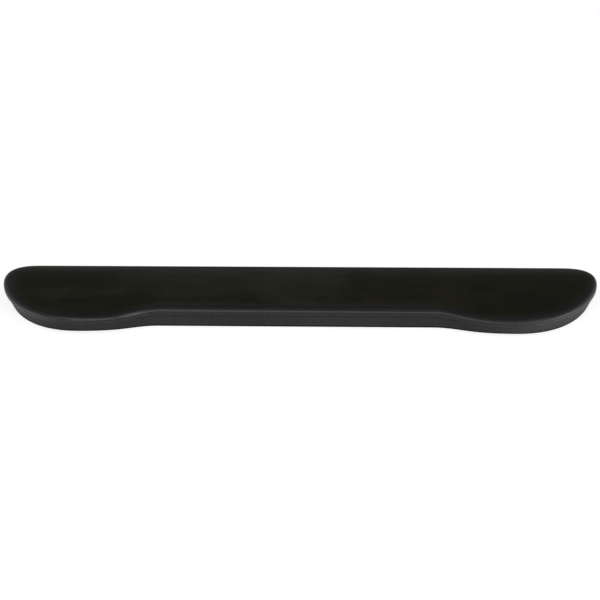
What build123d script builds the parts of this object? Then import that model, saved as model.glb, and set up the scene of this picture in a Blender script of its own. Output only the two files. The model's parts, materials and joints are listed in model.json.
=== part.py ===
from build123d import *
from math import hypot
import os

# Gel wrist rest for a full-size keyboard: a laminate of soft layers in a shallow
# moulded tray, closed by a gel-filled skin with a piped seam.
# Millimetres. Origin at the bottom centre, X along the rest, -Y towards the user,
# +Y the straight side that stands against the keyboard, +Z up, z = 0 on the desk.

# ---- overall size ---------------------------------------------------------------
length = 483.0
depth = 74.0
height = 19.0

# ---- outlines, right half (mirrored to the left) ----------------------------------
# Each has four (x, y) corners: the end of the straight rear edge, the extreme end of
# the rest, the foremost point of the palm lobe, and the end of the straight waist in
# the middle of the front. Handles are the lengths of the Bezier handles, in order
# from the rear corner to the waist, two for each curve.
waist_recess = 12.9  # how far the waist is set back from the lobes
rear_corner = (214.2, depth / 2)
end_point = (length / 2, 17.5)
lobe_point = (171.1, -depth / 2)
waist_corner = (108.2, -depth / 2 + waist_recess)
cushion_handles = (16.9, 14.6, 20.7, 46.7, 36.7, 19.2)

foot_rear_corner = (217.0, 35.8)
foot_end_point = (237.0, 18.4)
foot_lobe_point = (175.6, -32.1)
foot_waist_corner = (109.2, -24.6)
foot_handles = (14.0, 12.0, 14.4, 48.1, 40.6, 21.8)

rear_spans, side_spans, front_spans = 6, 9, 7  # spans each curve is sampled in

# ---- levels (z) -------------------------------------------------------------------
glue = 0.2
grip_thickness = 1.4
rim_z = 0.6  # the tray clears the desk by this much
recess_top = grip_thickness + glue
floor_top = 3.4
board_bottom = floor_top + glue
board_top = 5.0
foam_bottom = board_top + glue
foam_top = 8.4
comfort_bottom = foam_top + glue
comfort_top = 12.9
film_bottom = comfort_top + glue
ledge_z = 10.5  # ledge under the piping
lip_z = 12.5  # top of the tray lip, carries the seam
tail_bottom = lip_z + glue
seam_z = 13.3  # underside of the cushion flange
flange_top = 14.0
skin_thickness = 0.8

# ---- insets from the outlines -------------------------------------------------------
clearance = 0.15
recess_inset = 2.9  # from the foot
grip_inset = recess_inset + clearance
cavity_foot_inset = 2.6
cavity_top_inset = 6.2  # this and the rest are from the cushion
rebate_inset = 3.55
tail_inset = 6.0
layer_inset = 6.4
flange_inset = 10.0

# ---- tray and layer details ---------------------------------------------------------
grip_chamfer = 0.3
wall_foot_z = 1.5  # the wall slopes straight from here ...
wall_top_z = 9.9  # ... to here
wall_top_inset = 1.0
wall_mid_levels = (4.0, 6.5)
# (inset from the foot outline, z) round the bottom edge
foot_edge = ((0.60, rim_z), (0.18, rim_z + 0.25), (0.0, wall_foot_z))
# (inset from the cushion outline, z) round the top edge
ledge_edge = (
    (wall_top_inset, wall_top_z),
    (wall_top_inset + 0.15, wall_top_z + 0.4),
    (wall_top_inset + 0.55, ledge_z),
)
lip_root = 0.6  # how deep the lip reaches into the wall
cut_overrun = 0.5  # how far a cutter passes the face it opens
flange_cut_overrun = 0.2  # the same, upwards through the flange
comfort_taper_top = lip_z - 0.2  # the comfort foam stops tapering here

# ---- piping ---------------------------------------------------------------------------
bead_inset = 1.3
bead_z = 11.95
bead_radius = 1.25
cord_radius = 0.90
wrap_bore = 0.92  # radius

# ---- crown: the shoulder, then a parabola up to the level middle -----------------------
# (inset from the cushion outline, z), from the seam upwards
shoulder = (
    (1.00, seam_z), (0.25, 13.60), (0.00, 14.25), (0.30, 15.05),
    (1.20, 15.80), (2.90, 16.52), (4.60, 16.95), (6.00, 17.25),
)
shoulder_end, crown_base = shoulder[-1]
# the same for the inside of the skin
inner_shoulder = (
    (1.15, flange_top), (0.85, 14.32), (1.05, 14.80), (1.80, 15.35),
    (3.30, 15.88), (4.85, 16.22), (shoulder_end, crown_base - skin_thickness),
)
crown_steps = (0.10, 0.22, 0.36, 0.52, 0.72, 1.00)  # shares of the way to the middle
island_share = 0.20  # depth of the level middle as a share of the local depth
island_y = 3.0  # the line along the rest that the level middle keeps to
island_end = 24.5  # how far the level middle stops short at each end
island_taper_x = 150.0  # the shortening begins here
tangent_step = 0.01  # half the step for measuring a tangent


# ---- rims: closed lists of runs, each run a list of (x, y, tangent x, tangent y) --------
def unit(x, y):
    size = hypot(x, y)
    return x / size, y / size


def curve_run(start, start_handle, end_handle, end, spans):
    """A Bezier cubic sampled at equal steps of its parameter."""
    controls = list(zip(start, start_handle, end_handle, end))
    run = []
    for i in range(spans + 1):
        t = i / spans
        u = 1 - t
        x, y = (
            u**3 * a + 3 * u * u * t * b + 3 * u * t * t * c + t**3 * d
            for a, b, c, d in controls
        )
        slope = (
            3 * u * u * (b - a) + 6 * u * t * (c - b) + 3 * t * t * (d - c)
            for a, b, c, d in controls
        )
        run.append((x, y, *unit(*slope)))
    return run


def outline(rear, end, lobe, waist, handles):
    """The whole rim, clockwise seen from above, from the left end of the rear edge.
    A run of two points is a straight line."""
    (rear_x, rear_y), (end_x, end_y) = rear, end
    (lobe_x, lobe_y), (waist_x, waist_y) = lobe, waist
    from_rear, to_end, from_end, to_lobe, from_lobe, to_waist = handles
    right = [
        curve_run(rear, (rear_x + from_rear, rear_y), (end_x, end_y + to_end), end,
                  rear_spans),
        curve_run(end, (end_x, end_y - from_end), (lobe_x + to_lobe, lobe_y), lobe,
                  side_spans),
        curve_run(lobe, (lobe_x - from_lobe, lobe_y), (waist_x + to_waist, waist_y), waist,
                  front_spans),
    ]
    left = [[(-x, y, tx, -ty) for x, y, tx, ty in reversed(run)] for run in reversed(right)]
    rear_run = [(-rear_x, rear_y, 1.0, 0.0), (rear_x, rear_y, 1.0, 0.0)]
    waist_run = [(waist_x, waist_y, -1.0, 0.0), (-waist_x, waist_y, -1.0, 0.0)]
    return [rear_run] + right + [waist_run] + left


def inset(rim, distance):
    """The rim moved inwards along its normals."""
    return [
        [(x + ty * distance, y - tx * distance, tx, ty) for x, y, tx, ty in run]
        for run in rim
    ]


def mix(first, second, share):
    """The rim that lies the given share of the way from the first to the second."""
    mixed = []
    for first_run, second_run in zip(first, second):
        run = []
        for start, end in zip(first_run, second_run):
            x, y, tx, ty = (a + (b - a) * share for a, b in zip(start, end))
            run.append((x, y, *unit(tx, ty)))
        mixed.append(run)
    return mixed


def chord_knots(run):
    """Spline parameters from 0 to 1, in proportion to the chord lengths."""
    travel = [0.0]
    for start, end in zip(run, run[1:]):
        travel.append(travel[-1] + hypot(start[0] - end[0], start[1] - end[1]))
    return [distance / travel[-1] for distance in travel]


cushion = outline(rear_corner, end_point, lobe_point, waist_corner, cushion_handles)
foot = outline(
    foot_rear_corner, foot_end_point, foot_lobe_point, foot_waist_corner, foot_handles
)
# one set of knots for every ring, so that neighbouring rings loft cleanly
knots = [chord_knots(run) for run in cushion]


# ---- from rims to solids -----------------------------------------------------------------
def ring(rim, z):
    """The rim as a closed wire at height z."""
    edges = []
    for run, run_knots in zip(rim, knots):
        points = [(x, y, z) for x, y, _, _ in run]
        if len(run) == 2:
            edges.append(Edge.make_line(*points))
        else:
            ends = [(*run[0][2:], 0), (*run[-1][2:], 0)]
            edges.append(Edge.make_spline(points, tangents=ends, parameters=run_knots))
    return Wire(edges)


def loft(*stations):
    """A ruled solid through (rim, z) stations."""
    return Solid.make_loft([ring(rim, z) for rim, z in stations], ruled=True)


def prism(rim, bottom, top):
    return loft((rim, bottom), (rim, top))


# ---- grip sheet, let into the underside of the tray ----------------------------------------
grip_rim = inset(foot, grip_inset)


def make_grip_sheet():
    return loft(
        (inset(foot, grip_inset + grip_chamfer), 0.0),
        (grip_rim, grip_chamfer),
        (grip_rim, grip_thickness),
    )


# ---- tray: rounded foot, sloping wall, ledge under the piping, lip for the seam -------------
def make_base_tray():
    wall_top = inset(cushion, wall_top_inset)

    def wall(z):
        return mix(foot, wall_top, (z - wall_foot_z) / (wall_top_z - wall_foot_z))

    body = loft(
        *[(inset(foot, distance), z) for distance, z in foot_edge],
        *[(wall(z), z) for z in wall_mid_levels],
        *[(inset(cushion, distance), z) for distance, z in ledge_edge],
    )
    lip = prism(inset(cushion, rebate_inset), ledge_z - lip_root, lip_z)
    well = loft(
        (inset(foot, cavity_foot_inset), floor_top),
        (inset(cushion, cavity_top_inset), lip_z),
    )
    recess = prism(inset(foot, recess_inset), rim_z - cut_overrun, recess_top)
    return (body + lip) - well - recess


# ---- layers in the tapered well of the tray --------------------------------------------------
fit_foot = inset(foot, cavity_foot_inset + clearance)
fit_top = inset(cushion, cavity_top_inset + clearance)
layer_rim = inset(cushion, layer_inset)


def fit(z):
    """The rim of the well at height z, less the side clearance."""
    return mix(fit_foot, fit_top, (z - floor_top) / (lip_z - floor_top))


def well_layer(bottom, top):
    return loft((fit(bottom), bottom), (fit(top), top))


def make_comfort_foam():
    return loft(
        (fit(comfort_bottom), comfort_bottom),
        (layer_rim, comfort_taper_top),
        (layer_rim, comfort_top),
    )


# ---- seam: glue line on the lip, cord, and the wrap round the cord ----------------------------
bead_path = ring(inset(cushion, bead_inset), bead_z)
# section plane at the left end of the rear edge, its local x pointing inwards (-Y)
bead_plane = Plane(
    origin=(-rear_corner[0], rear_corner[1] - bead_inset, bead_z),
    x_dir=(0, -1, 0),
    z_dir=(-1, 0, 0),
)


def make_rim_adhesive():
    band = prism(inset(cushion, rebate_inset), lip_z, tail_bottom)
    opening = prism(inset(cushion, tail_inset), lip_z - cut_overrun, tail_bottom + cut_overrun)
    return band - opening


def make_piping_cord():
    return sweep(bead_plane * Circle(cord_radius), path=bead_path)


def make_piping_wrap():
    """A tube with a flat tail that runs inwards between the lip and the flange."""
    tail_length = tail_inset - bead_inset
    tail = Rectangle(tail_length, seam_z - tail_bottom)
    section = Circle(bead_radius) + Pos(
        tail_length / 2, (tail_bottom + seam_z) / 2 - bead_z
    ) * tail
    section = section - Circle(wrap_bore)
    return sweep(bead_plane * section, path=bead_path)


# ---- cushion: skin with its turned-in flange, and the gel that fills it -----------------------
def smoothstep(share):
    share = min(max(share, 0.0), 1.0)
    return share * share * (3 - 2 * share)


def to_island(x, y):
    """Move a point of the crown rim to the edge of the level middle."""
    taper_length = length / 2 - shoulder_end - island_taper_x
    reach = abs(x)
    reach -= island_end * smoothstep((reach - island_taper_x) / taper_length)
    return (reach if x >= 0 else -reach), island_y + island_share * (y - island_y)


def island_point(x, y, tx, ty):
    before = to_island(x - tangent_step * tx, y - tangent_step * ty)
    after = to_island(x + tangent_step * tx, y + tangent_step * ty)
    return (*to_island(x, y), *unit(after[0] - before[0], after[1] - before[1]))


crown_rim = inset(cushion, shoulder_end)
crown_middle = [[island_point(*point) for point in run] for run in crown_rim]
flange_rim = inset(cushion, flange_inset)


def rounded(profile):
    """The profile with one more point in each span, on a smooth curve."""
    points = []
    for i in range(len(profile) - 1):
        before, start = profile[max(i - 1, 0)], profile[i]
        end, after = profile[i + 1], profile[min(i + 2, len(profile) - 1)]
        middle = tuple(
            (9 * (b + c) - a - d) / 16 for a, b, c, d in zip(before, start, end, after)
        )
        points += [start, middle]
    return points + [profile[-1]]


def dome(profile, drop):
    """Shoulder and crown, the crown lowered by the drop."""
    stations = [(inset(cushion, distance), z) for distance, z in rounded(profile)]
    for share in crown_steps:
        z = crown_base + (height - crown_base) * (1 - (1 - share) ** 2) - drop
        stations.append((mix(crown_rim, crown_middle, share), z))
    return loft(*stations)


inner_dome = dome(inner_shoulder, skin_thickness)


def make_cushion_skin():
    opening = prism(flange_rim, seam_z - cut_overrun, flange_top + flange_cut_overrun)
    return dome(shoulder, 0.0) - inner_dome - opening


def make_gel_core():
    return inner_dome + prism(flange_rim, seam_z, flange_top)


parts = {
    "grip_sheet": make_grip_sheet(),
    "grip_adhesive": prism(grip_rim, grip_thickness, recess_top),
    "base_tray": make_base_tray(),
    "board_adhesive_lower": well_layer(floor_top, board_bottom),
    "stiffener_board": well_layer(board_bottom, board_top),
    "board_adhesive_upper": well_layer(board_top, foam_bottom),
    "support_foam": well_layer(foam_bottom, foam_top),
    "foam_adhesive": well_layer(foam_top, comfort_bottom),
    "comfort_foam": make_comfort_foam(),
    "cushion_adhesive": prism(layer_rim, comfort_top, film_bottom),
    "gel_backing_film": prism(layer_rim, film_bottom, seam_z),
    "rim_adhesive": make_rim_adhesive(),
    "piping_cord": make_piping_cord(),
    "piping_wrap": make_piping_wrap(),
    "cushion_skin": make_cushion_skin(),
    "gel_core": make_gel_core(),
}

os.makedirs("parts", exist_ok=True)
for name, shape in parts.items():
    solids = list(shape.solids())
    piece = solids[0] if len(solids) == 1 else Compound(children=solids)
    piece.label = name
    export_step(piece, os.path.join("parts", name + ".step"))
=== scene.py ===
"""A long gel-filled rest: a sewn skin over gel and foam, in a moulded tray with a grip sheet
below and a piping bead round the seam. It lies flat on the floor, its length along X and
its top towards +Z. The rear edge (+Y) is straight; the front edge (-Y) has a lobe near each
end and a shallow waist between them. Lengths are in mm unless a comment says otherwise."""
import json
import math

import bpy
import numpy as np
from mathutils import Matrix, Vector


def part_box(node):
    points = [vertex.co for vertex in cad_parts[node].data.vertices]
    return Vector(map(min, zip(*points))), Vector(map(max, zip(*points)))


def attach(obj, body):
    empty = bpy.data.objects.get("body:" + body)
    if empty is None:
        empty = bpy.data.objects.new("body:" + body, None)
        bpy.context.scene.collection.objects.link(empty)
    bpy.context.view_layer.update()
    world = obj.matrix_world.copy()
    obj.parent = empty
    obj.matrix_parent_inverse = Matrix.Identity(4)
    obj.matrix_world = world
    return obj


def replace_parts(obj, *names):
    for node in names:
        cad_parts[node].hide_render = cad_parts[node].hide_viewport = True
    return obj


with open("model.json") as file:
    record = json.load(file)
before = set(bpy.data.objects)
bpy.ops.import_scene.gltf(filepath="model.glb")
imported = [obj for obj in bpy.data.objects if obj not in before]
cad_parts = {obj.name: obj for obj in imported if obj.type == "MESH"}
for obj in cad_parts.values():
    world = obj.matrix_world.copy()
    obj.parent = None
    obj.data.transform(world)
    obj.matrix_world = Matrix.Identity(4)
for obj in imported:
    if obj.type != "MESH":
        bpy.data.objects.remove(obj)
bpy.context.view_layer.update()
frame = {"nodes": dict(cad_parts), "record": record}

MM = 0.001


# ------------------------------------------------------------------ places, from the CAD
def mm(metres):
    return metres / MM


skin_low, skin_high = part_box("cushion_skin")
tray_low, tray_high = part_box("base_tray")
_, grip_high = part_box("grip_sheet")
wrap_low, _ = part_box("piping_wrap")
cord_low, cord_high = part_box("piping_cord")
_, gel_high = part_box("gel_core")
comfort_low, comfort_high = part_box("comfort_foam")
support_low, support_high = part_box("support_foam")
_, grip_glue_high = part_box("grip_adhesive")
lower_glue_low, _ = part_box("board_adhesive_lower")

HALF_LENGTH = mm(skin_high.x - skin_low.x) / 2
HALF_DEPTH = mm(skin_high.y - skin_low.y) / 2
MIDDLE = (mm(skin_high.x + skin_low.x) / 2, mm(skin_high.y + skin_low.y) / 2)
SEAM_Z = mm(skin_low.z)
TOP_Z = mm(skin_high.z)
SKIN_THICKNESS = TOP_Z - mm(gel_high.z)
FLANGE_THICKNESS = 0.7
FLANGE_TOP = SEAM_Z + FLANGE_THICKNESS
FLANGE_INSET = 10.0  # the opening in the skin's underside
RIM_Z = mm(tray_low.z)
LIP_Z = mm(tray_high.z)
RECESS_Z = mm(grip_glue_high.z)  # roof of the recess under the tray
FLOOR_Z = mm(lower_glue_low.z)  # floor of the well in the tray
BEAD_Z = mm(cord_low.z + cord_high.z) / 2
CORD_RADIUS = mm(cord_high.z - cord_low.z) / 2
BEAD_INSET = HALF_LENGTH - mm(cord_high.x) + CORD_RADIUS
BEAD_RADIUS = BEAD_Z - mm(wrap_low.z)
GRIP_TOP = mm(grip_high.z)
GRIP_INSET = 3.05  # grip sheet's edge inside the tray's foot
WELL_INSET = 6.2  # the well's edge at the lip, inside the cushion's outline
WELL_FOOT_INSET = 2.6  # the well's edge at its floor, inside the foot's outline

# Right halves of the plan outlines: where the straight rear edge ends, the end tip, the
# front of the lobe and the end of the waist. Handles are the Bezier handle lengths in
# order from the rear corner to the waist.
CUSHION = dict(
    rear=(214.2, HALF_DEPTH), tip=(HALF_LENGTH, 17.5),
    lobe=(171.1, -HALF_DEPTH), waist=(108.2, -HALF_DEPTH + 12.9),
    handles=(16.9, 14.6, 20.7, 46.7, 36.7, 19.2),
)
FOOT = dict(
    rear=(217.0, mm(grip_high.y) + GRIP_INSET), tip=(mm(grip_high.x) + GRIP_INSET, 18.4),
    lobe=(175.6, -32.1), waist=(109.2, -24.6),
    handles=(14.0, 12.0, 14.4, 48.1, 40.6, 21.8),
)


# ------------------------------------------------------------------ outlines
def right_side(shape, segment, share):
    """Points and unit tangents of the right half, clockwise from above. Segments: 0 rear
    line, 1 corner, 2 tip to lobe, 3 lobe to waist, 4 waist line."""
    rear, tip, lobe, waist = (shape[key] for key in ("rear", "tip", "lobe", "waist"))
    corners = np.array([(0.0, rear[1]), rear, tip, lobe, waist, (0.0, waist[1])])
    h = shape["handles"]
    handles = {1: ((h[0], 0.0), (0.0, h[1])), 2: ((0.0, -h[2]), (h[3], 0.0)),
               3: ((-h[4], 0.0), (h[5], 0.0))}
    points = np.zeros((len(share), 2))
    tangents = np.zeros((len(share), 2))
    for s in range(5):
        here = segment == s
        if not here.any():
            continue
        t = share[here][:, None]
        u = 1 - t
        start, end = corners[s], corners[s + 1]
        if s in handles:
            a, b = start + handles[s][0], end + handles[s][1]
            points[here] = u**3 * start + 3 * u * u * t * a + 3 * u * t * t * b + t**3 * end
            ahead = 3 * u * u * (a - start) + 6 * u * t * (b - a) + 3 * t * t * (end - b)
        else:
            points[here] = start + (end - start) * t
            ahead = np.repeat((end - start)[None], here.sum(), 0)
        tangents[here] = ahead / np.linalg.norm(ahead, axis=1)[:, None]
    return points, tangents


def samples(count):
    """Segments and shares of the right half's points, spaced evenly on the cushion's
    outline: a quarter of the count up to the tip, and a quarter from there on."""
    fine = 400
    segment = np.append(np.repeat(np.arange(5), fine), 4)
    share = np.append(np.tile(np.arange(fine) / fine, 5), 1.0)
    points, _ = right_side(CUSHION, segment, share)
    steps = np.linalg.norm(np.diff(points, axis=0), axis=1)
    length = np.concatenate([[0], np.cumsum(steps)])
    tip = length[2 * fine]
    quarter = count // 4
    wanted = np.concatenate([np.linspace(0, tip, quarter, endpoint=False),
                             np.linspace(tip, length[-1], quarter + 1)])
    place = np.interp(wanted, length, segment + share)
    segment = np.minimum(place.astype(int), 4)
    return segment, place - segment


class Outline:
    """A closed outline: index 0 is the left end tip, count/2 the right one, clockwise from
    above. Points of equal index on two outlines belong together."""

    def __init__(self, shape, count):
        points, tangents = right_side(shape, *samples(count))
        normals = np.stack([-tangents[:, 1], tangents[:, 0]], 1)
        self.points = self.whole(points, count) + MIDDLE
        self.normals = self.whole(normals, count)

    @staticmethod
    def whole(right, count):
        """Adds the mirrored left half and brings the left tip to the start."""
        left = right[1:-1][::-1] * [-1, 1]
        return np.roll(np.concatenate([right, left]), count // 4, 0)

    def inset(self, distance):
        return self.points - self.normals * np.reshape(distance, (-1, 1))

    def along(self):
        """Distance of each point from the first."""
        steps = np.linalg.norm(np.diff(self.points, axis=0), axis=1)
        return np.concatenate([[0], np.cumsum(steps)])


# ------------------------------------------------------------------ rings and meshes
def smoothstep(s):
    s = np.clip(s, 0, 1)
    return s * s * (3 - 2 * s)


def lerp(a, b, s):
    return a + (b - a) * s


def at(points, z):
    return np.column_stack([points, np.broadcast_to(z, len(points))])


def draw_in(points, start, end, most):
    """Sizes of X, drawn towards the middle by up to most between start and end."""
    x = np.abs(points[:, 0])
    end = x.max() if end is None else end
    return np.sign(points[:, 0]) * (x - most * smoothstep((x - start) / (end - start)))


def island(edge):
    """The loop round the cushion's nearly level middle."""
    middle_y, share = 3.0, 0.20
    x = draw_in(edge, start=150.0, end=HALF_LENGTH - 6.0, most=24.5)
    return np.stack([x, middle_y + share * (edge[:, 1] - middle_y)], 1)


def spine(edge):
    """The last ring of a level middle: a thin loop round the line midway between its rear
    and front points."""
    share = 0.06
    loop = island(edge)
    middle = (loop + loop[(-np.arange(len(edge))) % len(edge)]) / 2
    x = draw_in(middle, start=120.0, end=None, most=3.0)
    return np.stack([x, middle[:, 1] + share * (loop[:, 1] - middle[:, 1])], 1)


def level(edge, z, steps, outward=False):
    """Rings over a level face from just inside its edge to the spine, or back."""
    inner = spine(edge)
    rings = [at(lerp(edge, inner, s), z) for s in np.linspace(0, 1, steps + 1)[1:]]
    return rings[::-1] if outward else rings


def mesh_of(name, rings, ends="capped"):
    """A mesh from rings of equal length, facing outwards. Its ends are capped (first and
    last ring zipped shut across), joined to each other, or left open."""
    n = len(rings[0])
    coords = np.concatenate(rings) * MM
    here = np.arange(n)
    ahead = (here + 1) % n
    bands = []
    for ring in range(len(rings) if ends == "joined" else len(rings) - 1):
        a, b = ring * n, (ring + 1) % len(rings) * n
        bands.append(np.stack([a + here, b + here, b + ahead, a + ahead], 1))
    quads = np.concatenate(bands)
    triangles = []
    if ends == "capped":
        k = np.arange(1, n // 2 - 1)
        for base, turn in ((0, 1), ((len(rings) - 1) * n, -1)):
            cap = np.stack([base + k, base + k + 1, base + n - k - 1, base + n - k], 1)
            tips = np.array([[base, base + 1, base + n - 1],
                             [base + n // 2, base + n // 2 + 1, base + n // 2 - 1]])
            quads = np.concatenate([quads, cap[:, ::turn]])
            triangles.append(tips[:, ::turn])
    corners = np.concatenate([quads[:, [0, 1, 2]], quads[:, [0, 2, 3]], *triangles])
    a, b, c = (coords[corners[:, i]] for i in range(3))
    if np.sum(a * np.cross(b, c)) < 0:  # negative volume: the faces look inwards
        quads = quads[:, ::-1]
        triangles = [t[:, ::-1] for t in triangles]
    mesh = bpy.data.meshes.new(name)
    faces = quads.tolist() + [face for t in triangles for face in t.tolist()]
    mesh.from_pydata(coords.tolist(), [], faces)
    mesh.update()
    mesh.polygons.foreach_set("use_smooth", [True] * len(mesh.polygons))
    ob = bpy.data.objects.new(name, mesh)
    bpy.context.scene.collection.objects.link(ob)
    return ob


def mark_rings(ob, name, marks, count):
    """Stores one value per ring as a point attribute, for the materials."""
    values = np.repeat(marks, count).astype(np.float32)
    ob.data.attributes.new(name, "FLOAT", "POINT").data.foreach_set("value", values)


def curve(points, count, beyond):
    """Points along a Catmull-Rom curve through the given ones, heading for the one beyond."""
    p = np.array(points, float)
    q = np.concatenate([[2 * p[0] - p[1]], p, [beyond]])
    found = []
    for u in np.linspace(0, len(p) - 1, count):
        i = min(int(u), len(p) - 2)
        t = u - i
        a, b, c, d = q[i:i + 4]
        found.append(0.5 * ((2 * b) + (-a + c) * t + (2 * a - 5 * b + 4 * c - d) * t * t
                            + (-a + 3 * b - 3 * c + d) * t**3))
    return np.array(found)


def value_noise(points, scale, seed):
    """Smooth seeded noise of 2-D points, about -1 to 1, with features of the given scale."""
    q = points / scale
    cell = np.floor(q).astype(int)
    f = q - cell
    x, y = (f * f * f * (f * (f * 6 - 15) + 10)).T

    def corner(dx, dy):
        v = (cell[:, 0] + dx) * 127.1 + (cell[:, 1] + dy) * 311.7 + seed * 74.7
        v = np.sin(v) * 43758.5453
        return (v - np.floor(v)) * 2 - 1

    near = corner(0, 0) * (1 - x) + corner(1, 0) * x
    far = corner(0, 1) * (1 - x) + corner(1, 1) * x
    return near * (1 - y) + far * y


# ------------------------------------------------------------------ the cushion's shape
# Sections of the rounded shoulder: inset from the outline, height over the seam.
SHOULDER = ((0.62, 0.00), (0.14, 0.20), (0.00, 0.80), (0.28, 1.70), (1.20, 2.47),
            (2.88, 3.19), (4.58, 3.63), (6.00, 3.95))
INNER = ((1.15, 0.70), (0.85, 1.02), (1.05, 1.50), (1.80, 2.05), (3.30, 2.58),
         (4.85, 2.92), (6.00, 3.15))
CROWN_INSET, CROWN_HEIGHT = SHOULDER[-1]  # where the shoulder ends and the crown begins


def crown_z(s, drop):
    """Height of the crown: s is 0 where the shoulder ends, 1 at the island, 2 at the spine."""
    u = 1 - (0.8 * s if s <= 1 else 0.8 + 0.2 * (s - 1))
    base = SEAM_Z + CROWN_HEIGHT
    return base + (TOP_Z - base) * (1 - 0.75 * u**4 - 0.25 * u**2) - drop


def cushion_rings(outline, profile, shoulder, crown, middle, drop=0.0):
    """Rings from the bottom of the shoulder to the spine, with how far up each is (0 at
    the bottom, 1 where the shoulder ends, 2 at the island, 3 at the spine). The counts are
    of rings in each part; drop lowers the crown."""
    reach, slope = 1.4, 0.185  # heading of the shoulder where the crown takes over
    inset, height = profile[-1]
    ahead = (inset + reach, height + reach * slope)
    rings = [at(outline.inset(d), SEAM_Z + z) for d, z in curve(profile, shoulder, ahead)]
    up = [i / (shoulder - 1) for i in range(shoulder)]
    rim = outline.inset(CROWN_INSET)
    loops = (rim, island(rim), spine(rim))
    for part, count in enumerate((crown, middle)):
        for s in np.linspace(0, 1, count + 1)[1:]:
            rings.append(at(lerp(loops[part], loops[part + 1], s), crown_z(part + s, drop)))
            up.append(1 + part + s)
    return rings, np.array(up)


# ------------------------------------------------------------------ inflated by simulation
def simulate():
    """The skin as a cloth held at its seam and pressed out by the gel. Returns the points
    of its coarse grid in plan, how far each moved up, and their marks of height."""
    count = 240
    last_frame = 20
    rings, up = cushion_rings(Outline(CUSHION, count), SHOULDER, shoulder=9, crown=9, middle=2)
    for ring, u in zip(rings, up):
        weight = smoothstep((u - 0.3) / 1.2)
        ring[:, 2] += 0.10 * weight * value_noise(ring[:, :2], 23.0, 5)
    ob = mesh_of("sim_skin", rings, ends="open")
    start = np.zeros(len(rings) * count * 3)
    ob.data.vertices.foreach_get("co", start)
    pin = ob.vertex_groups.new(name="pin")
    pin.add(list(range(0, count * 2)), 1.0, "REPLACE")
    bpy.context.view_layer.objects.active = ob
    cloth = ob.modifiers.new("cloth", "CLOTH")
    settings = cloth.settings
    settings.quality = 6
    settings.mass = 0.25
    settings.tension_stiffness = 30
    settings.compression_stiffness = 30
    settings.shear_stiffness = 15
    settings.bending_stiffness = 4
    settings.use_pressure = True
    settings.uniform_pressure_force = 4.0
    settings.vertex_group_mass = "pin"
    settings.effector_weights.gravity = 0.0
    cloth.collision_settings.use_collision = False
    cloth.collision_settings.use_self_collision = False
    cloth.point_cache.frame_start = 1
    cloth.point_cache.frame_end = last_frame
    scene = bpy.context.scene
    for number in range(1, last_frame + 1):
        scene.frame_set(number)
    evaluated = ob.evaluated_get(bpy.context.evaluated_depsgraph_get())
    end = np.zeros(len(start))
    evaluated.data.vertices.foreach_get("co", end)
    scene.frame_set(1)
    bpy.data.objects.remove(ob)
    moved = (end - start).reshape(-1, 3)[:, 2] / MM
    return np.vstack(rings)[:, :2], moved, np.repeat(up, count)


# The rise is kept on a grid in plan that passes the cushion by a margin.
GRID_STEP = 3.0
GRID_MARGIN = 12.0
GRID_START = np.array([-HALF_LENGTH - GRID_MARGIN, -HALF_DEPTH - GRID_MARGIN])
GRID_COUNT = np.array([int((2 * half + 2 * GRID_MARGIN) / GRID_STEP) + 4
                       for half in (HALF_LENGTH, HALF_DEPTH)])


def smooth_field(points, values, reach):
    """The values at the points, averaged onto the grid with Gaussian weights."""
    weights = []
    for axis in range(2):
        lines = GRID_START[axis] + GRID_STEP * np.arange(GRID_COUNT[axis])
        weights.append(np.exp(-(((lines[:, None] - points[None, :, axis]) / reach) ** 2) / 2))
    across, deep = weights
    return ((across * values) @ deep.T) / (across @ deep.T + 1e-9)


def spline_weights(t):
    return ((1 - t) ** 3 / 6, (3 * t**3 - 6 * t**2 + 4) / 6,
            (-3 * t**3 + 3 * t**2 + 3 * t + 1) / 6, t**3 / 6)


def swell(field, points):
    """The field at the points of the plan, read as a cubic B-spline."""
    g = (points - GRID_START) / GRID_STEP
    i = np.clip(np.floor(g).astype(int), 1, GRID_COUNT - 3)
    across, deep = (spline_weights(g[:, axis] - i[:, axis]) for axis in range(2))
    total = np.zeros(len(points))
    for a in range(4):
        for b in range(4):
            total += across[a] * deep[b] * field[i[:, 0] + a - 1, i[:, 1] + b - 1]
    return total


def simulated_rise():
    """The simulated rise on the grid, its mean over the crown taken off and the rest
    scaled to stay within a limit there."""
    limit = 0.35
    points, moved, up = simulate()
    field = smooth_field(points, moved, reach=9.0)
    top = swell(field, points[up >= 1.0])
    return (field - top.mean()) * min(1.0, limit / np.abs(top - top.mean()).max())


RISE = simulated_rise()


def uneven(ring, up):
    """A ring of the cushion with the lumps of the gel and the simulated rise."""
    weight = float(smoothstep((up - 0.35) / 1.1))
    if weight > 0:
        p = ring[:, :2]
        lumps = (0.10 * value_noise(p, 34.0, 1) + 0.060 * value_noise(p + 7, 17.0, 2)
                 + 0.022 * value_noise(p + 3, 8.0, 3))
        z = ring[:, 2] + weight * (lumps - 0.10 + swell(RISE, p))
        ring = at(p, np.minimum(z, TOP_Z + 0.4))
    return ring


# ------------------------------------------------------------------ skin and gel
CUSHION_COUNT = 960


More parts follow.
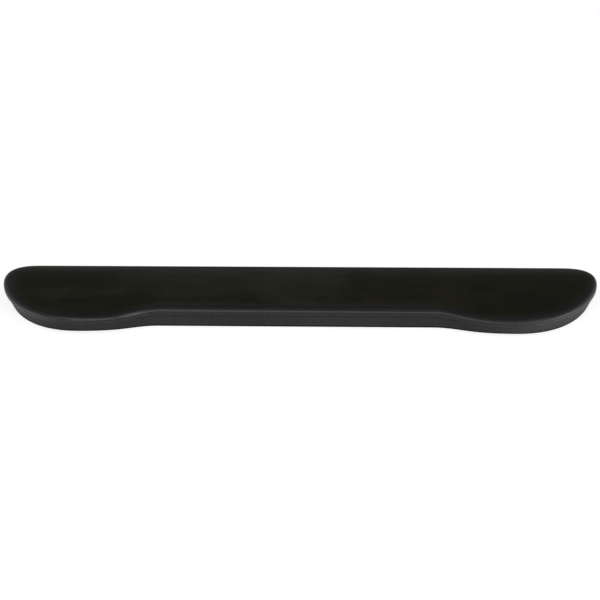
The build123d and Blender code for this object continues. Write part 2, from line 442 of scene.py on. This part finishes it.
def build_skin():
    """Outer face from the spine down, the flange turned in at the seam, the inner face."""
    outline = Outline(CUSHION, CUSHION_COUNT)
    outer, up = cushion_rings(outline, SHOULDER, shoulder=34, crown=30, middle=6)
    inner, inner_up = cushion_rings(outline, INNER, shoulder=16, crown=14, middle=4,
                                    drop=SKIN_THICKNESS)
    outer = [uneven(ring, u) for ring, u in zip(outer, up)]
    inner = [uneven(ring, u) for ring, u in zip(inner, inner_up)]
    flange = [at(outline.inset(d), SEAM_Z)
              for d in np.linspace(SHOULDER[0][0], FLANGE_INSET, 9)[1:]]
    flange += [at(outline.inset(FLANGE_INSET), SEAM_Z + z)
               for z in (FLANGE_THICKNESS / 2, FLANGE_THICKNESS)]
    flange += [at(outline.inset(d), FLANGE_TOP) for d in (7.0, 4.0, 2.0)]
    ob = mesh_of("cushion_skin_sewn", outer[::-1] + flange + inner)
    marks = np.concatenate([up[::-1], np.zeros(len(flange) + len(inner))])
    mark_rings(ob, "up", marks, CUSHION_COUNT)
    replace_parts(ob, "cushion_skin")
    return ob


def build_gel():
    """Fills the skin, a hair smaller than its inner face, and the opening in the flange."""
    gap = 0.02
    outline = Outline(CUSHION, CUSHION_COUNT)
    opening = outline.inset(FLANGE_INSET + gap)
    rings = level(opening, SEAM_Z, 5, outward=True)
    rings += [at(opening, z) for z in (SEAM_Z, SEAM_Z + FLANGE_THICKNESS / 2, FLANGE_TOP)]
    rings += [at(outline.inset(d), FLANGE_TOP) for d in (8.0, 5.0, 2.5)]
    body, up = cushion_rings(outline, [(d + gap, z) for d, z in INNER], shoulder=12, crown=12,
                             middle=4, drop=SKIN_THICKNESS + gap)
    ob = mesh_of("gel_core_soft", rings + [uneven(ring, u) for ring, u in zip(body, up)])
    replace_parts(ob, "gel_core")
    return ob


# ------------------------------------------------------------------ piping
PIPING_COUNT = 1920


def line_noise(along, y, scale, seed):
    """Noise along an outline, read on the line at the given y."""
    return value_noise(np.column_stack([along, np.full(len(along), y)]), scale, seed)


def build_wrap():
    """The strip round the cord, with its two tails running in under the seam."""
    outline = Outline(CUSHION, PIPING_COUNT)
    along = outline.along()
    # bend of the outline, from normals about 1.15 mm apart
    apart = np.roll(outline.normals, -1, 0) - np.roll(outline.normals, 1, 0)
    tight = smoothstep(np.linalg.norm(apart, axis=1) / 1.15 / 0.045)
    wobble = 0.05 * line_noise(along, 0, 31.0, 8)
    phase = along / 2.3 * 2 * math.pi + 1.3 * line_noise(along, 9, 11.0, 4)
    pucker = 0.045 * tight * np.sin(phase)
    # a narrow nick on the rear edge, right of the middle
    x, y = outline.points.T
    nick = np.exp(-((x - 61.0) / 0.35) ** 2) * (y > 0) * 0.16
    rings = []
    marks = []
    # angle from straight inwards, turning under, outwards and up
    start = math.asin((LIP_Z + 0.2 - BEAD_Z) / BEAD_RADIUS)
    for angle in np.linspace(start, -(math.pi * 1.5) + 0.10, 44):
        inward, upward = math.cos(angle), math.sin(angle)
        ease = (1.0 - 0.5 * max(0.0, upward) ** 4) * (0.9 if upward > 0.8 else 1.0)
        radius = BEAD_RADIUS + (wobble + pucker - nick) * ease
        # pressed up against the skin above it, so fuller towards the upper outside
        fuller = 0.24 * max(0.0, -inward) * max(0.0, upward)
        radius = np.minimum(radius, BEAD_RADIUS + 0.06) + fuller
        if upward > 0.9:
            radius = np.minimum(radius, BEAD_RADIUS)
        rings.append(at(outline.inset(BEAD_INSET + radius * inward),
                        BEAD_Z + radius * upward))
        marks.append(max(0.0, -inward))
    tail_inset = 6.0
    for first, last, z in ((BEAD_INSET + 0.45, tail_inset, SEAM_Z - 0.01),
                           (tail_inset, BEAD_INSET + 1.25, LIP_Z + 0.21)):
        for d in np.linspace(first, last, 6):
            rings.append(at(outline.inset(d), z))
            marks.append(0.0)
    ob = mesh_of("piping_wrap_strip", rings, ends="joined")
    # the crest mark, how far each ring faces outwards, is where the piping material paints wear
    # and a highlight
    mark_rings(ob, "crest", marks, PIPING_COUNT)
    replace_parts(ob, "piping_wrap")
    return ob


def build_cord():
    outline = Outline(CUSHION, PIPING_COUNT)
    radius = CORD_RADIUS - 0.03
    rings = [at(outline.inset(BEAD_INSET + radius * math.cos(angle)),
                BEAD_Z - radius * math.sin(angle))
             for angle in np.linspace(0, 2 * math.pi, 21)[:-1]]
    ob = mesh_of("piping_cord_core", rings, ends="joined")
    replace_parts(ob, "piping_cord")
    return ob


# ------------------------------------------------------------------ tray
TRAY_COUNT = 1920
RECESS_INSET = 2.9
FOOT_ROUND_INSET, FOOT_ROUND_HEIGHT = 0.72, 0.85
WALL_FOOT_Z = 1.5
WALL_TOP_INSET = 1.0
WALL_ROUND = 0.6
LEDGE_Z = BEAD_Z - BEAD_RADIUS - 0.2  # the ledge under the piping bead
WALL_TOP_Z = LEDGE_Z - WALL_ROUND
LIP_INSET = 3.55
LIP_CHAMFER = 0.06


def grain(along, z):
    """The moulded texture of the wall, proud and sunk."""
    p = np.column_stack([along, np.full(len(along), z)])
    return (0.030 * value_noise(p, 1.3, 11) + 0.020 * value_noise(p, 0.75, 12)
            + 0.020 * value_noise(p * [1, 0.6], 19.0, 13))


def wall_line(z):
    """The moulded line round the wall above its foot: a fine groove over a soft bulge."""
    groove = -0.30 * math.exp(-(((z - 4.05) / 0.28) ** 2))
    return groove + 0.10 * math.exp(-(((z - 3.1) / 0.5) ** 2))


def build_tray():
    """Rings from the middle of the underside out, up the wall, over the lip and down into
    the well. The mark is how much each belongs to the wall."""
    top, foot = Outline(CUSHION, TRAY_COUNT), Outline(FOOT, TRAY_COUNT)
    along = top.along()
    rings = level(foot.inset(RECESS_INSET), RECESS_Z, 5, outward=True)
    marks = [0.0] * len(rings)

    def add(points, z, mark=0.0):
        rings.append(at(points, z))
        marks.append(mark)

    for inset, z in ((RECESS_INSET, RECESS_Z), (RECESS_INSET, (RECESS_Z + RIM_Z) / 2),
                     (2.85, RIM_Z + 0.03), (2.75, RIM_Z), (2.0, RIM_Z), (1.3, RIM_Z),
                     (0.80, RIM_Z)):
        add(foot.inset(inset), z)
    # the rounding is marked 0.3, where the tray material paints shade
    for turn in np.linspace(0, math.pi / 2, 7)[1:-1]:
        add(foot.inset(FOOT_ROUND_INSET * (1 - math.sin(turn))),
            RIM_Z + FOOT_ROUND_HEIGHT * (1 - math.cos(turn)), 0.3)
    fade = 0.15  # share of the wall over which the grain dies out at foot and top
    for s in np.linspace(0, 1, 46):
        z = lerp(WALL_FOOT_Z, WALL_TOP_Z, s)
        normal = lerp(foot.normals, top.normals, s)
        normal = normal / np.linalg.norm(normal, axis=1)[:, None]
        strength = math.sin(min(s, 1 - s, fade) / fade * math.pi / 2)
        proud = grain(along, z) * strength + wall_line(z)
        wall = lerp(foot.points, top.inset(WALL_TOP_INSET), s)
        add(wall + normal * proud[:, None], z, 0.3 + 0.7 * smoothstep((z - 1.9) / 0.5))
    for turn in np.linspace(0, math.pi / 2, 7)[1:]:
        add(top.inset(WALL_TOP_INSET + WALL_ROUND * (1 - math.cos(turn))),
            WALL_TOP_Z + WALL_ROUND * math.sin(turn), 0.9)
    for inset, z in ((2.6, LEDGE_Z), (3.50, LEDGE_Z), (LIP_INSET, LEDGE_Z),
                     (LIP_INSET, LEDGE_Z + 0.05), (LIP_INSET, (LEDGE_Z + LIP_Z) / 2),
                     (LIP_INSET, LIP_Z - LIP_CHAMFER), (LIP_INSET + LIP_CHAMFER, LIP_Z),
                     (4.5, LIP_Z), (5.5, LIP_Z), (WELL_INSET - LIP_CHAMFER, LIP_Z)):
        add(top.inset(inset), z)
    well_top, well_foot = top.inset(WELL_INSET), foot.inset(WELL_FOOT_INSET)
    add(well_top, LIP_Z - LIP_CHAMFER)
    for s in np.linspace(0, 1, 8)[1:]:
        add(lerp(well_top, well_foot, s), lerp(LIP_Z, FLOOR_Z, s))
    bottom = level(well_foot, FLOOR_Z, 5)
    ob = mesh_of("base_tray_moulded", rings + bottom)
    mark_rings(ob, "wall", marks + [0.0] * len(bottom), TRAY_COUNT)
    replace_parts(ob, "base_tray")
    return ob


# ------------------------------------------------------------------ grip sheet
def tread(points):
    """Depth of the fine wavy grooves in the underside, always up into the sheet."""
    pitch, depth = 4.4, 0.28
    wave_length, wave_width = 5.2, 1.1
    wave = wave_width * np.sin(points[:, 1] / wave_length * 2 * math.pi)
    phase = (points[:, 0] + wave) / pitch * 2 * math.pi
    return depth * smoothstep((np.cos(phase) - 0.55) / 0.35)


def build_grip():
    rounding, chamfer = 0.3, 0.05
    outline = Outline(FOOT, 1600)
    low_inset = GRIP_INSET + rounding
    low_edge = outline.inset(low_inset)
    low_spine = spine(low_edge)
    rings = []
    for s in np.linspace(0, 1, 46)[::-1]:
        points = lerp(low_edge, low_spine, s)
        rings.append(at(points, tread(points) * smoothstep(s / 0.06)))
    for turn in np.linspace(0, math.pi / 2, 6)[1:]:
        rings.append(at(outline.inset(low_inset - rounding * math.sin(turn)),
                        rounding * (1 - math.cos(turn))))
    rings += [at(outline.inset(GRIP_INSET), z) for z in (0.7, GRIP_TOP - chamfer)]
    top_edge = outline.inset(GRIP_INSET + chamfer)
    rings.append(at(top_edge, GRIP_TOP))
    ob = mesh_of("grip_sheet_tread", rings + level(top_edge, GRIP_TOP, 5))
    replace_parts(ob, "grip_sheet")
    return ob


# ------------------------------------------------------------------ foams
def build_foam(name, low, high, straight, seed, replaced):
    """A pad filling the well between two heights; a straight one keeps upright sides
    from near the lip up."""
    gap, bevel = 0.15, 0.25
    straight_inset = WELL_INSET + 0.25
    top, foot = Outline(CUSHION, 720), Outline(FOOT, 720)

    def fit(z, extra=0.0):
        return lerp(foot.inset(WELL_FOOT_INSET + gap + extra),
                    top.inset(WELL_INSET + gap + extra), (z - FLOOR_Z) / (LIP_Z - FLOOR_Z))

    low_edge = fit(low, bevel)
    rings = level(low_edge, low, 6, outward=True)
    rings.append(at(low_edge, low))
    for s in np.linspace(0, 1, 9):
        z = lerp(low + bevel, high - bevel, s)
        points = top.inset(straight_inset) if straight and z > LIP_Z - 0.5 else fit(z)
        rough = 0.05 * value_noise(points + z * 3.1, 1.9, seed) - 0.05
        rings.append(at(points + top.normals * rough[:, None], z))
    high_edge = top.inset(straight_inset + bevel) if straight else fit(high, bevel)
    rings.append(at(high_edge, high))
    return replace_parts(mesh_of(name, rings + level(high_edge, high, 6)), replaced)


skin = build_skin()
gel = build_gel()
wrap = build_wrap()
cord = build_cord()
tray = build_tray()
grip = build_grip()
support = build_foam("support_foam_pad", mm(support_low.z), mm(support_high.z),
                     straight=False, seed=21, replaced="support_foam")
comfort = build_foam("comfort_foam_pad", mm(comfort_low.z), mm(comfort_high.z),
                     straight=True, seed=22, replaced="comfort_foam")


# ------------------------------------------------------------------ shader graphs
class Graph:
    """The node tree of a material or world. Values may be numbers or output sockets."""

    def __init__(self, owner):
        owner.use_nodes = True
        self.tree = owner.node_tree
        self.tree.nodes.clear()

    def feed(self, node, inputs):
        for key, value in inputs.items():
            if isinstance(value, bpy.types.NodeSocket):
                self.tree.links.new(value, node.inputs[key])
            else:
                node.inputs[key].default_value = value

    def node(self, kind, inputs=None, **settings):
        node = self.tree.nodes.new("ShaderNode" + kind)
        for name, value in settings.items():
            setattr(node, name, value)
        self.feed(node, inputs or {})
        return node

    def math(self, operation, a, b):
        return self.node("Math", {0: a, 1: b}, operation=operation).outputs["Value"]

    def remap(self, value, over=(0.3, 0.7), to=(0.0, 1.0), interpolation="LINEAR"):
        """The value taken from the range over to the range to."""
        inputs = {"Value": value, "From Min": over[0], "From Max": over[1],
                  "To Min": to[0], "To Max": to[1]}
        return self.node("MapRange", inputs, interpolation_type=interpolation).outputs["Result"]

    def ramp(self, value, over, to=(0.0, 1.0)):
        """As remap, with soft ends."""
        return self.remap(value, over, to, "SMOOTHSTEP")

    def mix_shaders(self, factor, a, b):
        return self.node("MixShader", {0: factor, 1: a, 2: b}).outputs[0]


class Material(Graph):
    """A principled material with textures in object space, their sizes in mm."""

    def __init__(self, name):
        self.material = bpy.data.materials.new(name)
        super().__init__(self.material)
        self.principled = self.node("BsdfPrincipled")
        self.node("OutputMaterial", {"Surface": self.principled.outputs["BSDF"]})
        self.place = self.node("TexCoord").outputs["Object"]

    def set(self, **inputs):
        self.feed(self.principled, {k.replace("_", " "): v for k, v in inputs.items()})

    def noise(self, size, detail=3, roughness=0.6, stretch=None):
        """Noise with features of about the given size, drawn out along the axes."""
        place = self.place
        if stretch:
            scale = tuple(1 / v for v in stretch)
            place = self.node("Mapping", {"Scale": scale, "Vector": place}).outputs["Vector"]
        inputs = {"Scale": 1 / (size * MM), "Detail": detail, "Roughness": roughness,
                  "Vector": place}
        return self.node("TexNoise", inputs).outputs["Fac"]

    def cells(self, size):
        inputs = {"Scale": 1 / (size * MM), "Vector": self.place}
        return self.node("TexVoronoi", inputs).outputs["Distance"]

    def mark(self, name):
        return self.node("Attribute", attribute_name=name).outputs["Fac"]

    def mix(self, factor, a, b):
        """Blend of two colours, each a socket or a triple."""
        a, b = ((*v, 1.0) if isinstance(v, tuple) else v for v in (a, b))
        return self.node("Mix", {0: factor, 6: a, 7: b}, data_type="RGBA").outputs[2]

    def bump(self, *layers):
        """Layers of (height, strength, distance in mm), each laid over the one before."""
        normal = None
        for height, strength, distance in layers:
            inputs = {"Strength": strength, "Distance": distance * MM, "Height": height}
            if normal is not None:
                inputs["Normal"] = normal
            normal = self.node("Bump", inputs).outputs["Normal"]
        self.set(Normal=normal)

    def patch(self, centre, radii, fade, ragged=14.0, size=22.0):
        """1 inside an ellipse on the plan, 0 outside, with a ragged edge that fades
        between two shares of the radii."""
        rag = self.noise(size, roughness=0.5)
        place = self.place
        for operation, (x, y) in (("SUBTRACT", [v * MM for v in centre]),
                                  ("MULTIPLY", [1 / (v * MM) for v in radii])):
            place = self.node("VectorMath", {0: place, 1: (x, y, 0)},
                              operation=operation).outputs["Vector"]
        distance = self.node("VectorMath", {0: place}, operation="LENGTH").outputs["Value"]
        wander = self.remap(rag, to=(-ragged / radii[0], ragged / radii[0]))
        return self.ramp(self.math("ADD", distance, wander), over=fade, to=(1.0, 0.0))


# ------------------------------------------------------------------ materials
def grey(value):
    return (value, value, value)


def skin_material():
    k = Material("skin_black_polyurethane")
    big = k.noise(size=38, roughness=0.55)
    streak = k.noise(size=11, stretch=(3.2, 1, 1))
    mid = k.noise(size=6)
    fine = k.noise(size=0.42, detail=2, roughness=0.5)
    pores = k.cells(size=0.55)
    # mottled: dull and polished patches, drawn out along the rest
    tone = k.math("ADD", k.ramp(big, over=(0.36, 0.64), to=(0.0, 0.5)),
                  k.ramp(streak, over=(0.38, 0.64), to=(0.0, 0.5)))
    colour = k.mix(tone, (0.0054, 0.0053, 0.0020), (0.0134, 0.0130, 0.0058))
    # paler patches, two wide parts left of and about the middle and one on the left lobe:
    # partly wear, partly painted sheen standing in for the soft reflections on the top.
    # centre, radii, most
    for centre, radii, most in (((-64, 15), (92, 30), 0.85), ((6, 6), (50, 24), 0.85),
                                ((-178, -4), (44, 9), 0.55)):
        pale = k.math("MULTIPLY", k.patch(centre, radii, fade=(0.55, 1.15)),
                      k.ramp(streak, over=(0.38, 0.60), to=(0.50 * most, most)))
        colour = k.mix(pale, colour, (0.0205, 0.0200, 0.0135))
    # the rounded shoulder is a neutral black
    shoulder = k.ramp(k.mark("up"), over=(0.93, 1.14), to=(1.0, 0.0))
    colour = k.mix(shoulder, colour, grey(0.0105))
    # the lip under the shoulder is paler: partly wear, partly painted light standing in for the
    # light it catches above the seam
    wear_and_painted_light = k.math("MULTIPLY", k.ramp(k.mark("up"), over=(0.22, 0.62), to=(1.0, 0.0)),
                  k.remap(mid, over=(0.35, 0.7), to=(0.45, 1.0)))
    # painted highlight: the lip is painted paler where the left lobe turns into the waist, and
    # a little on the lobe's front, standing in for the highlight there: centre, radii, most,
    # lowest mark, spread up the shoulder
    lip = grey(0.034)
    for centre, radii, most, low, spread in (((-129.5, -28), (15, 15), 1.0, 0.36, 0.95),
                                             ((-171, -34), (12, 14), 0.40, -1.0, 0.0)):
        spot = k.patch(centre, radii, fade=(0.15, 1.30), ragged=1.0, size=6.0)
        pale = k.math("MULTIPLY", k.math("MULTIPLY", spot, most),
                      k.ramp(k.mark("up"), over=(low - 0.08, low + 0.08)))
        lip = k.mix(pale, lip, (0.084, 0.084, 0.082))
        above = k.math("MULTIPLY", k.ramp(k.mark("up"), over=(0.52, 0.72), to=(1.0, 0.0)),
                       spread)
        wear_and_painted_light = k.math("MAXIMUM", wear_and_painted_light, k.math("MULTIPLY", pale, above))
    # the left lobe is rubbed to a higher gloss along its front crest
    gloss = k.patch(centre=(-146, -34), radii=(62, 13), fade=(0.05, 1.10))
    rough = k.math("ADD", k.remap(mid, to=(-0.025, 0.035)), k.remap(streak, to=(0.37, 0.29)))
    k.set(Base_Color=k.mix(wear_and_painted_light, colour, lip),
          Roughness=k.math("ADD", rough, k.math("MULTIPLY", gloss, -0.09)),
          IOR=1.5, Specular_IOR_Level=0.5, Coat_Weight=0.10, Coat_Roughness=0.16)
    k.bump((mid, 0.10, 0.10), (fine, 0.11, 0.03), (pores, 0.05, 0.03))
    return k.material


def piping_material():
    k = Material("piping_black_polyurethane")
    mid = k.noise(size=4)
    fine = k.noise(size=0.35, detail=2, roughness=0.5)
    # the outward side of the bead is paler: partly wear, partly a painted highlight
    wear_and_painted_light = k.math("MULTIPLY", k.remap(k.mark("crest"), over=(0.5, 1.0)),
                  k.remap(mid, over=(0.4, 0.65), to=(0.15, 0.9)))
    k.set(Base_Color=k.mix(wear_and_painted_light, grey(0.014), grey(0.048)),
          Roughness=k.remap(mid, to=(0.34, 0.46)), IOR=1.5, Specular_IOR_Level=0.5)
    k.bump((mid, 0.12, 0.10), (fine, 0.25, 0.04))
    return k.material


def tray_material():
    k = Material("tray_textured_elastomer")
    big = k.noise(size=45)
    mid = k.noise(size=2.4)
    fine = k.noise(size=0.45)
    cells = k.cells(size=0.8)
    colour = k.mix(k.remap(mid), (0.020, 0.020, 0.0202), (0.034, 0.034, 0.0345))
    colour = k.mix(k.remap(big, over=(0.4, 0.7), to=(0.0, 0.5)), colour,
                   (0.040, 0.040, 0.0405))
    # painted shade: the rounding under the wall is painted dark, standing in for the contact
    # shadow there
    shade = k.ramp(k.mark("wall"), over=(0.35, 0.85), to=(1.0, 0.0))
    k.set(Base_Color=k.mix(shade, colour, grey(0.010)),
          Roughness=k.remap(mid, to=(0.62, 0.80)),
          Specular_IOR_Level=k.remap(shade, over=(0.0, 1.0), to=(0.45, 0.08)), IOR=1.48)
    k.bump((mid, 0.35, 0.10), (cells, 0.35, 0.08), (fine, 0.5, 0.06))
    return k.material


def rubber_material():
    k = Material("grip_rubber")
    mid = k.noise(size=5)
    k.set(Base_Color=k.mix(k.remap(mid), grey(0.010), grey(0.018)),
          Roughness=k.remap(mid, to=(0.70, 0.86)))
    k.bump((k.noise(size=0.3), 0.4, 0.04))
    return k.material


def foam_material(name, dark, pale, cell):
    k = Material(name)
    cells = k.cells(size=cell)
    k.set(Base_Color=k.mix(k.remap(k.noise(size=7)), dark, pale),
          Roughness=k.remap(cells, over=(0.0, 0.7), to=(0.95, 0.80)))
    k.bump((cells, 0.8, 0.25))
    return k.material


def plain_material(name, dark, pale, roughness, bump, noise, **inputs):
    """One noise drives the colour, the roughness range and the bump (strength, mm)."""
    k = Material(name)
    mid = k.noise(**noise)
    k.set(Base_Color=k.mix(k.remap(mid), dark, pale), Roughness=k.remap(mid, to=roughness),
          **inputs)
    k.bump((mid, *bump))
    return k.material


MATERIALS = {
    "skin": skin_material(),
    "piping": piping_material(),
    "tray_plastic": tray_material(),
    "grip_rubber": rubber_material(),
    "gel": plain_material(
        "gel_clear", dark=(0.30, 0.40, 0.45), pale=(0.42, 0.52, 0.56), roughness=(0.10, 0.2),
        bump=(0.2, 0.2), noise=dict(size=9, roughness=0.5),
        IOR=1.41, Transmission_Weight=0.6, Subsurface_Weight=0.2),
    "soft_foam": foam_material(
        "foam_soft_open_cell", dark=(0.07, 0.07, 0.075), pale=(0.10, 0.10, 0.105), cell=0.9),
    "firm_foam": foam_material(
        "foam_firm_closed_cell", dark=(0.05, 0.05, 0.055), pale=(0.07, 0.07, 0.075), cell=0.6),
    "board": plain_material(
        "board_plain_sheet", dark=(0.26, 0.26, 0.27), pale=(0.33, 0.33, 0.335),
        roughness=(0.45, 0.6), bump=(0.15, 0.05), noise=dict(size=3, detail=4)),
    "adhesive": plain_material(
        "adhesive_sheet", dark=(0.62, 0.58, 0.44), pale=(0.74, 0.70, 0.56),
        roughness=(0.25, 0.5), bump=(0.3, 0.05), noise=dict(size=4, detail=4),
        Transmission_Weight=0.4),
    "film": plain_material(
        "film_clear", dark=(0.45, 0.46, 0.48), pale=(0.55, 0.56, 0.58), roughness=(0.08, 0.2),
        bump=(0.2, 0.08), noise=dict(size=12), Transmission_Weight=0.6),
    "cord": plain_material(
        "cord_extruded", dark=(0.50, 0.50, 0.47), pale=(0.62, 0.62, 0.59),
        roughness=(0.4, 0.6), bump=(0.3, 0.05), noise=dict(size=1.2)),
}

for ob, slot in ((skin, "skin"), (gel, "gel"), (wrap, "piping"), (cord, "cord"),
                 (tray, "tray_plastic"), (grip, "grip_rubber"),
                 (support, "firm_foam"), (comfort, "soft_foam")):
    ob.data.materials.append(MATERIALS[slot])
    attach(ob, "root")

for row in frame["record"]["subparts"]:
    ob = frame["nodes"][row["node"]]
    material = MATERIALS[row["material_slot"]]
    if ob.material_slots:
        for material_slot in ob.material_slots:
            material_slot.material = material
    else:
        ob.data.materials.append(material)

# ------------------------------------------------------------------ floor and world, in metres
WHITE = (1, 1, 1, 1)


def floor_material():
    """Seen by the camera: paper that takes a soft shadow near the object and runs into the
    backdrop further out. Seen in reflections: a glow that differs from side to side."""
    material = bpy.data.materials.new("floor_pale")
    k = Graph(material)
    paper = k.node("BsdfDiffuse", {"Color": (0.5, 0.5, 0.5, 1)})
    glow = k.node("Emission", {"Color": WHITE, "Strength": 0.74})
    near = k.node("AddShader", {0: paper.outputs[0], 1: glow.outputs[0]})
    backdrop = k.node("Emission", {"Color": WHITE, "Strength": 1.0})
    geometry = k.node("NewGeometry")
    place = geometry.outputs["Position"]
    distance = k.node("VectorMath", {0: place}, operation="LENGTH").outputs["Value"]
    seen = k.mix_shaders(k.ramp(distance, over=(0.30, 0.75)), near.outputs[0],
                         backdrop.outputs[0])
    x, y, _ = k.node("SeparateXYZ", {0: place}).outputs
    front = k.ramp(y, over=(0.015, -0.045), to=(0.0, 0.35))
    left = k.ramp(x, over=(-0.19, -0.25), to=(0.0, 0.75))
    right = k.ramp(x, over=(0.13, 0.26), to=(0.0, 0.85))
    rear = k.ramp(y, over=(0.030, 0.055), to=(0.06, 0.030))
    strength = k.math("ADD", k.math("ADD", front, left), k.math("ADD", right, rear))
    lit = k.node("Emission", {"Color": WHITE, "Strength": strength})
    camera_ray = k.node("LightPath").outputs["Is Camera Ray"]
    both = k.mix_shaders(camera_ray, lit.outputs[0], seen)
    clear = k.node("BsdfTransparent").outputs[0]
    from_above = k.mix_shaders(geometry.outputs["Backfacing"], both, clear)
    k.node("OutputMaterial", {"Surface": from_above})
    return material


def build_floor():
    half = 6.0
    mesh = bpy.data.meshes.new("floor")
    corners = [(-half, -half, 0), (half, -half, 0), (half, half, 0), (-half, half, 0)]
    mesh.from_pydata(corners, [], [(0, 1, 2, 3)])
    floor = bpy.data.objects.new("floor", mesh)
    bpy.context.scene.collection.objects.link(floor)
    floor.location.z = -0.00005
    mesh.materials.append(floor_material())


def build_world():
    """White to the camera; otherwise a studio with pale side walls and a dark far wall, as
    a function of direction."""
    world = bpy.data.worlds.new("studio")
    bpy.context.scene.world = world
    k = Graph(world)
    direction = k.node("TexCoord").outputs["Generated"]
    x, y, z = k.node("SeparateXYZ", {0: direction}).outputs
    left = k.ramp(x, over=(-0.34, -0.80), to=(0.0, 0.50))
    right = k.ramp(x, over=(0.34, 0.80), to=(0.0, 0.75))
    front = k.ramp(y, over=(-0.2, -0.8), to=(0.0, 0.36))
    far = k.math("MULTIPLY", k.ramp(y, over=(0.3, 0.7)),
                 k.ramp(z, over=(0.52, 0.25), to=(0.0, 0.12)))
    top = k.ramp(z, over=(0.84, 0.98), to=(0.0, 0.17))
    total = 0.042  # light from everywhere
    for part in (left, right, front, far, top):
        total = k.math("ADD", part, total)
    studio = k.node("Background", {"Color": WHITE, "Strength": total})
    white = k.node("Background", {"Color": WHITE, "Strength": 1.0})
    camera_ray = k.node("LightPath").outputs["Is Camera Ray"]
    surface = k.mix_shaders(camera_ray, studio.outputs[0], white.outputs[0])
    k.node("OutputWorld", {"Surface": surface})


# ------------------------------------------------------------------ lights, in metres
def towards(azimuth, elevation):
    """Direction from the object, in degrees; azimuth 0 is the front, 90 the right."""
    turn, rise = math.radians(azimuth), math.radians(elevation)
    return (math.sin(turn) * math.cos(rise), -math.cos(turn) * math.cos(rise), math.sin(rise))


# name, direction from the object, distance, width, height, radiance
PANELS = (
    ("overhead", (-0.23, -0.22, 0.95), 1.30, 1.00, 0.32, 1.8),
    ("overhead_right", (0.40, -0.18, 0.90), 1.30, 0.45, 0.30, 1.7),
    ("front", (0.05, -0.64, 0.76), 1.50, 1.5, 0.24, 2.7),
    ("right", towards(66, 18), 1.20, 0.6, 0.5, 2.6),
    ("left", towards(-66, 20), 1.20, 0.5, 0.4, 1.6),
)


def build_panels():
    for name, direction, distance, width, height, radiance in PANELS:
        light = bpy.data.lights.new(name, "AREA")
        light.shape = "RECTANGLE"
        light.size = width
        light.size_y = height
        light.energy = radiance * math.pi * width * height
        ob = bpy.data.objects.new(name, light)
        bpy.context.scene.collection.objects.link(ob)
        ob.location = Vector(direction).normalized() * distance
        ob.rotation_euler = (-ob.location).to_track_quat("-Z", "Y").to_euler()


# ------------------------------------------------------------------ camera, in metres
def build_camera():
    """Looks down from the front, a little to the right."""
    distance = 1.6
    view_width = 0.48502387  # width of the view at the target
    elevation, yaw, roll = map(math.radians, (37.47, 4.44, -2.36))
    forward = Vector((-math.sin(yaw) * math.cos(elevation),
                      math.cos(yaw) * math.cos(elevation), -math.sin(elevation)))
    target = Vector((MIDDLE[0] * MM, MIDDLE[1] * MM, 0.008))
    lens = bpy.data.cameras.new("camera")
    lens.sensor_width = 36.0
    lens.lens = lens.sensor_width * distance / view_width
    lens.shift_x = 0.00516667
    lens.shift_y = 0.00161667
    lens.clip_start = 0.05
    lens.clip_end = 50
    camera = bpy.data.objects.new("camera", lens)
    bpy.context.scene.collection.objects.link(camera)
    camera.location = target - forward * distance
    camera.rotation_mode = "QUATERNION"
    tilt = Matrix.Rotation(roll, 4, "Z").to_quaternion()
    camera.rotation_quaternion = forward.to_track_quat("-Z", "Y") @ tilt
    bpy.context.scene.camera = camera


build_floor()
build_world()
build_panels()
build_camera()

view = bpy.context.scene.view_settings
view.view_transform = "Standard"
view.look = "None"
view.exposure = 0.0
view.gamma = 1.0
